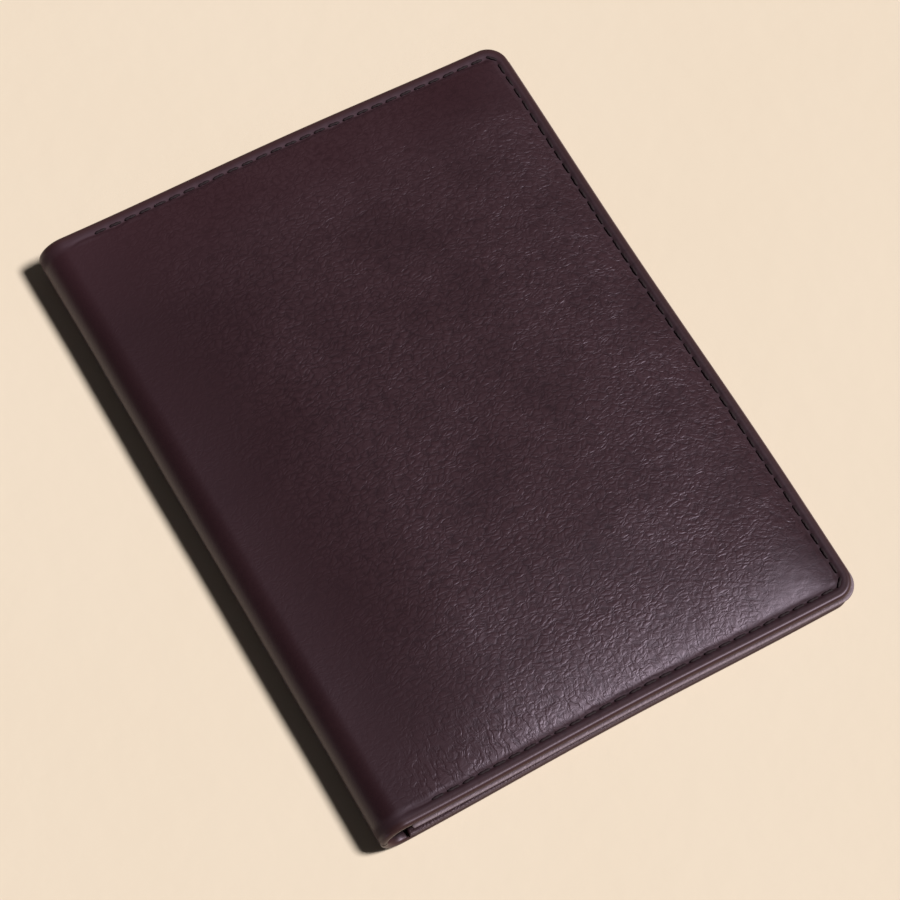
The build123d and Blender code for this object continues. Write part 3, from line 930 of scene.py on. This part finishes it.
def cover_leather():
    """Full-grain leather: pebbles, creases by the opening edge, wrinkles by the seam, smooth rim."""
    mat = Finish("cover_leather")
    place = mat.layer("grain")
    border = mat.split(mat.layer("border"))
    from_rim, from_fold = border[0], border[1]
    along = mat.split(place)[1]
    warped = mat.warped(place, 4.0, 0.22)

    # pebbles with hollows between them, in stronger and weaker patches; the hollows also give a mask of
    # painted shade
    drawn = mat.mapped(warped, (7.6, 11.8))
    pebble = mat.ramp(mat.cells(drawn, 1.0), 0.0, 0.30)
    crumple = mat.noise(drawn, 0.9, 3.0, 0.6)
    skin = mat.plus(mat.times(pebble, 0.35), mat.times(crumple, 0.9))
    # The darkening of the hollows is painted shade, fainter by the fold and towards the top end.
    pit_shade = mat.times(mat.ramp(skin, 0.62, 0.40), mat.ramp(from_fold, 0.6, 2.6, 0.2, 0.7))
    pit_shade = mat.times(pit_shade, mat.ramp(along, 1.5, 5.0, 1.0, 0.4))
    patch = mat.noise(place, 0.7)
    skin = mat.times(skin, mat.ramp(patch, 0.3, 0.6, 0.55, 1.0))

    # slanted creases by the opening edge, wrinkles square to the seam by the bottom end
    slanted = mat.mapped(warped, turn=CREASE_TURN)
    crease = mat.creased(mat.noise(mat.mapped(slanted, (2.3, 9.5)), 1.0, 3.0))
    by_opening = mat.times(mat.ramp(from_fold, 4.0, 7.8), mat.ramp(patch, 0.15, 0.50))
    wrinkle = mat.creased(mat.noise(mat.mapped(warped, (7.0, 2.4)), 1.0, 3.0))
    by_seam = mat.times(mat.ramp(from_rim, 1.7, 0.5), mat.ramp(from_fold, 0.1, 0.7))
    by_seam = mat.times(by_seam, mat.ramp(from_fold, 2.0, 5.0, 1.3, 0.6))
    by_seam = mat.times(by_seam, mat.ramp(along, -1.5, -4.5, 0.15, 1.0))

    # relief: calm on the roll, on the rim and where the skin is pulled tight over the corners
    height = mat.times(skin, mat.ramp(from_fold, 0.6, 2.6, 0.36, 1.15))
    height = mat.times(height, mat.ramp(by_seam, 0.2, 0.8, 1.0, 0.6))
    height = mat.plus(height, mat.times(mat.times(crease, by_opening), 0.25))
    height = mat.plus(height, mat.times(mat.times(wrinkle, by_seam), 0.42))
    height = mat.times(height, mat.ramp(from_rim, 0.17, 0.27, 0.12, 1.0))
    from_middle = mat.maths("ABSOLUTE", along)
    pulled = mat.times(mat.ramp(from_fold, 6.6, 8.4), mat.ramp(from_middle, 4.6, 5.7))
    height = mat.times(height, mat.ramp(pulled, 0.0, 0.6, 1.0, 0.22))
    height = mat.plus(height, mat.times(mat.noise(place, 60.0), 0.12))
    mat.bump(height, COVER_GRAIN)

    # colour: mottled, paler by the top end, painted shade in the grain's hollows, wear with painted
    # highlight on the high grain, wear with painted light on the rim
    tone = mat.ramp(mat.noise(place, 0.45), 0.3, 0.7)
    body = mat.blended(tone, LEATHER_DEEP, LEATHER_BASE)
    body = mat.blended(mat.ramp(along, 3.9, 6.0), body, LEATHER_TOP)
    pit_shaded = mat.blended(pit_shade, body, LEATHER_PIT_SHADE)
    wear_and_highlight = mat.blended(mat.times(mat.ramp(height, 0.35, 1.1), 0.6), pit_shaded, LEATHER_WEAR_AND_HIGHLIGHT)
    mat.shade("Base Color", mat.blended(mat.ramp(from_rim, 0.15, 0.02, 0.0, 0.8), wear_and_highlight, LEATHER_RIM_WEAR_AND_LIGHT))

    # gloss: duller in the seam groove
    grained = mat.ramp(height, 0.2, 1.4, 0.39, 0.365)
    groove = mat.times(mat.ramp(from_rim, 0.10, 0.15), mat.ramp(from_rim, 0.34, 0.25, 0.0, 0.28))
    mat.shade("Roughness", mat.plus(grained, groove))
    mat.shade("Specular IOR Level", 0.35)
    mat.shade("Specular Tint", (1.0, 0.84, 1.0, 1))
    return mat.material


def inner_leather():
    """Smoother calf for panels and pockets: fine hair-cell grain, faint creases, pale edges that are
    partly edge wear and partly a painted highlight line.
    """
    mat = Finish("inner_leather")
    place = mat.layer("grain")
    warped = mat.warped(place, 5.0, 0.15)
    cell = mat.ramp(mat.cells(warped, 13.0), 0.0, 0.25)
    crumple = mat.noise(warped, 12.0, 3.0)
    height = mat.plus(mat.times(cell, 0.5), mat.times(crumple, 0.6))
    height = mat.plus(height, mat.times(mat.noise(place, 45.0), 0.15))
    mat.bump(height, CALF_GRAIN)
    tone = mat.ramp(mat.noise(place, 0.35, 4.0, 0.6), 0.3, 0.7)
    body = mat.blended(tone, CALF_DARK, CALF_LIGHT)
    grained = mat.blended(mat.times(mat.ramp(height, 0.4, 1.1), 0.5), body, CALF_WORN)
    from_rim = mat.split(mat.layer("border"))[0]
    # The pale edge is partly edge wear, partly a painted highlight line.
    mat.shade("Base Color", mat.blended(mat.ramp(from_rim, 0.03, -0.02), grained, CALF_EDGE_WEAR_AND_HIGHLIGHT))
    mat.shade("Roughness", mat.ramp(height, 0.2, 1.2, 0.50, 0.38))
    mat.shade("Specular IOR Level", 0.36)
    mat.shade("Specular Tint", (1.0, 0.82, 0.92, 1))
    return mat.material


def woven(name, dark, light, threads, twill):
    """Fine woven fabric: warp and weft bumps, with a diagonal rib if it is a twill."""
    mat = Finish(name)
    place = mat.layer("grain")
    warp, weft = mat.wave(place, "X", threads, 0.4), mat.wave(place, "Y", threads, 0.4)
    height = mat.maths("MAXIMUM", warp, weft)
    if twill:
        height = mat.plus(height, mat.wave(place, "DIAGONAL", threads * 0.5))
    mat.bump(height, WEAVE_DEPTH, strength=0.8)
    slub = mat.noise(place, 8.0, 3.0)
    weave = mat.plus(mat.times(slub, 0.5), mat.times(height, 0.3))
    mat.shade("Base Color", mat.blended(mat.ramp(weave, 0.25, 0.8), dark, light))
    mat.shade("Roughness", mat.ramp(height, 0.0, 1.5, 0.95, 0.75))
    mat.shade("Specular IOR Level", 0.3)
    return mat.material


def thread_material():
    """Waxed thread, near black."""
    mat = Finish("thread")
    fibre = mat.noise(mat.layer("grain"), 60.0)
    mat.bump(fibre, THREAD_FIBRE, strength=0.4)
    mat.shade("Base Color", mat.blended(fibre, THREAD_DARK, THREAD_LIGHT))
    mat.shade("Roughness", mat.ramp(fibre, 0.3, 0.7, 0.6, 0.8))
    mat.shade("Specular IOR Level", 0.25)
    return mat.material


def board_material():
    """Pressed fibre board."""
    mat = Finish("stiffener_board")
    fleck = mat.noise(mat.layer("grain"), 20.0, 4.0)
    mat.bump(fleck, BOARD_FIBRE, strength=0.3)
    mat.shade("Base Color", mat.blended(fleck, BOARD_DARK, BOARD_LIGHT))
    mat.shade("Roughness", 0.9)
    return mat.material


def film_material():
    """Clear flexible film with faint waves in its gloss."""
    mat = Finish("window_film")
    wave = mat.noise(mat.object_place(), 90.0, 1.0)
    mat.bump(wave, FILM_WAVE, strength=0.25)
    mat.shade("Roughness", mat.ramp(wave, 0.3, 0.7, 0.05, 0.12))
    mat.shade("Base Color", FILM_TINT)
    mat.shade("Transmission Weight", 1.0)
    mat.shade("IOR", 1.46)
    return mat.material


def floor_material():
    """Pale cream paper with a very faint tooth."""
    mat = Finish("floor")
    place = mat.object_place()
    mat.bump(mat.noise(place, 160.0, 4.0), PAPER_TOOTH, strength=0.25)
    mat.shade("Base Color", mat.blended(mat.noise(place, 9.0), PAPER_DARK, PAPER_LIGHT))
    mat.shade("Roughness", 0.9)
    return mat.material


MATERIALS = {
    "cover_leather": cover_leather(),
    "inner_leather": inner_leather(),
    "thread": thread_material(),
    "lining_fabric": woven("lining_fabric", LINING_DARK, LINING_LIGHT, threads=14.0, twill=True),
    "slip_fabric": woven("slip_fabric", SLIP_DARK, SLIP_LIGHT, threads=22.0, twill=False),
    "stiffener_board": board_material(),
    "window_film": film_material(),
}


def dress(obj, slot, *nodes):
    """Gives a piece its material and slot, and hides the CAD nodes it stands for."""
    obj.data.materials.clear()
    obj.data.materials.append(MATERIALS[slot])
    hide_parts(*nodes)


def bend(obj, half):
    """Bakes the piece's placement into its mesh, the same for either half."""
    if half.front:
        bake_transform(obj)
    else:
        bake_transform(obj)


for side, half, share in (("back", BACK, ()), ("front", FRONT, ("spine_leather",))):
    skin, face = outer_leather(f"{side}_outer_leather", half)
    dress(skin, "cover_leather", f"{side}_cover", *share)
    seam_normals(skin, face)
    bend(skin, half)

for side, half, share in (("back", BACK, ()), ("front", FRONT, ("spine_lining",))):
    cloth = lining_sheet(f"{side}_note_lining", half)
    dress(cloth, "lining_fabric", f"{side}_lining", f"{side}_roll_lining", *share)
    bend(cloth, half)

# -------------------------------- pieces that stay with their half
for side, half in (("back", BACK), ("front", FRONT)):
    board = stiffener_sheet(f"{side}_stiffener_board", half)
    panel = panel_sheet(f"{side}_note_panel", half)
    seam = cover_seam(f"{side}_cover_seam", half)
    rows = pocket_seams(f"{side}_pocket_seams", half)
    dress(board, "stiffener_board", f"{side}_stiffener")
    dress(panel, "inner_leather", f"{side}_inner_panel")
    dress(seam, "thread", f"{side}_cover_stitching")
    dress(rows, "thread", f"{side}_pocket_stitching")
    for piece in (board, panel, seam, rows):
        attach(piece, half.body)
    mouths = FRONT_MOUTHS if half.front else BACK_MOUTHS
    for index, mouth in enumerate(mouths):
        last = half.front and index + 1 == len(mouths)
        end = EDGE_SHOW - EDGE_CLEARANCE - LENGTH / 2 if last else mouth - PITCH - TUCK
        pocket = pocket_sheet(f"{side}_pocket_{index + 1}", half, mouth, end, POCKET_SEED + index)
        dress(pocket, "inner_leather", f"{side}_card_pocket_{index + 1}")
        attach(pocket, half.body)
        if last:
            continue
        slip = slip_sheet(f"{side}_slip_{index + 1}", half, mouth, index)
        dress(slip, "slip_fabric", f"{side}_pocket_slip_{index + 1}")
        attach(slip, half.body)

window = window_ring("identity_window_frame", BACK)
dress(window, "inner_leather", "id_window_frame")
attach(window, BACK.body)
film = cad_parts["id_window_film"]
film.data.materials.clear()
film.data.materials.append(MATERIALS["window_film"])

# -------------------------------- floor
# The thread of the underside seam stands a little below the covers, and so does the floor.
FLOOR_SIZE = 16.0
FLOOR_DROP = 0.00012
bpy.ops.mesh.primitive_plane_add(size=FLOOR_SIZE, location=(0, 0, -FLOOR_DROP))
floor = bpy.context.object
floor.name = "floor"
floor.data.materials.append(floor_material())

# -------------------------------- camera
CAMERA_AZIMUTH = -36.263
CAMERA_ELEVATION = 65.276
CAMERA_ROLL = 6.859
CAMERA_DISTANCE = 0.5432
CAMERA_TARGET = Vector((-0.0015963, -0.0056837, 0.005))
CAMERA_LENS = 124.12


def direction(azimuth, elevation):
    """Direction from the object at angles in degrees, azimuth 0 being the -y side."""
    a, e = math.radians(azimuth), math.radians(elevation)
    return Vector((math.sin(a) * math.cos(e), -math.cos(a) * math.cos(e), math.sin(e)))


toward_camera = direction(CAMERA_AZIMUTH, CAMERA_ELEVATION)
camera_data = bpy.data.cameras.new("camera")
camera_data.lens = CAMERA_LENS
camera_data.sensor_width = 36.0
camera_data.clip_start = 0.01
camera = bpy.data.objects.new("camera", camera_data)
bpy.context.scene.collection.objects.link(camera)
camera.location = CAMERA_TARGET + toward_camera * CAMERA_DISTANCE
level_view = (-toward_camera).to_track_quat("-Z", "Y")
roll = Matrix.Rotation(math.radians(CAMERA_ROLL), 3, "Z").to_quaternion()
camera.rotation_mode = "QUATERNION"
camera.rotation_quaternion = level_view @ roll
bpy.context.scene.camera = camera

# -------------------------------- light
WORLD_COLOUR = (1.0, 0.98, 0.96, 1)
WORLD_STRENGTH = 0.030


def soft_light(name, azimuth, elevation, spread, strength, colour):
    """Broad far-off light from a direction in degrees, the same strength all over the floor."""
    data = bpy.data.lights.new(name, "SUN")
    data.angle = math.radians(spread)
    data.energy = strength
    data.color = colour
    lamp = bpy.data.objects.new(name, data)
    bpy.context.scene.collection.objects.link(lamp)
    lamp.location = direction(azimuth, elevation)
    lamp.rotation_mode = "QUATERNION"
    lamp.rotation_quaternion = (-direction(azimuth, elevation)).to_track_quat("-Z", "Y")


soft_light("key", azimuth=62.0, elevation=58.0, spread=12.0, strength=3.68, colour=(0.98, 0.96, 0.98))
soft_light("sky", azimuth=-86.0, elevation=5.0, spread=10.0, strength=0.12, colour=(0.56, 0.61, 1.0))
world = bpy.data.worlds.new("studio")
world.use_nodes = True
background = world.node_tree.nodes["Background"]
background.inputs["Color"].default_value = WORLD_COLOUR
background.inputs["Strength"].default_value = WORLD_STRENGTH
bpy.context.scene.world = world
bpy.context.scene.view_settings.view_transform = "Standard"
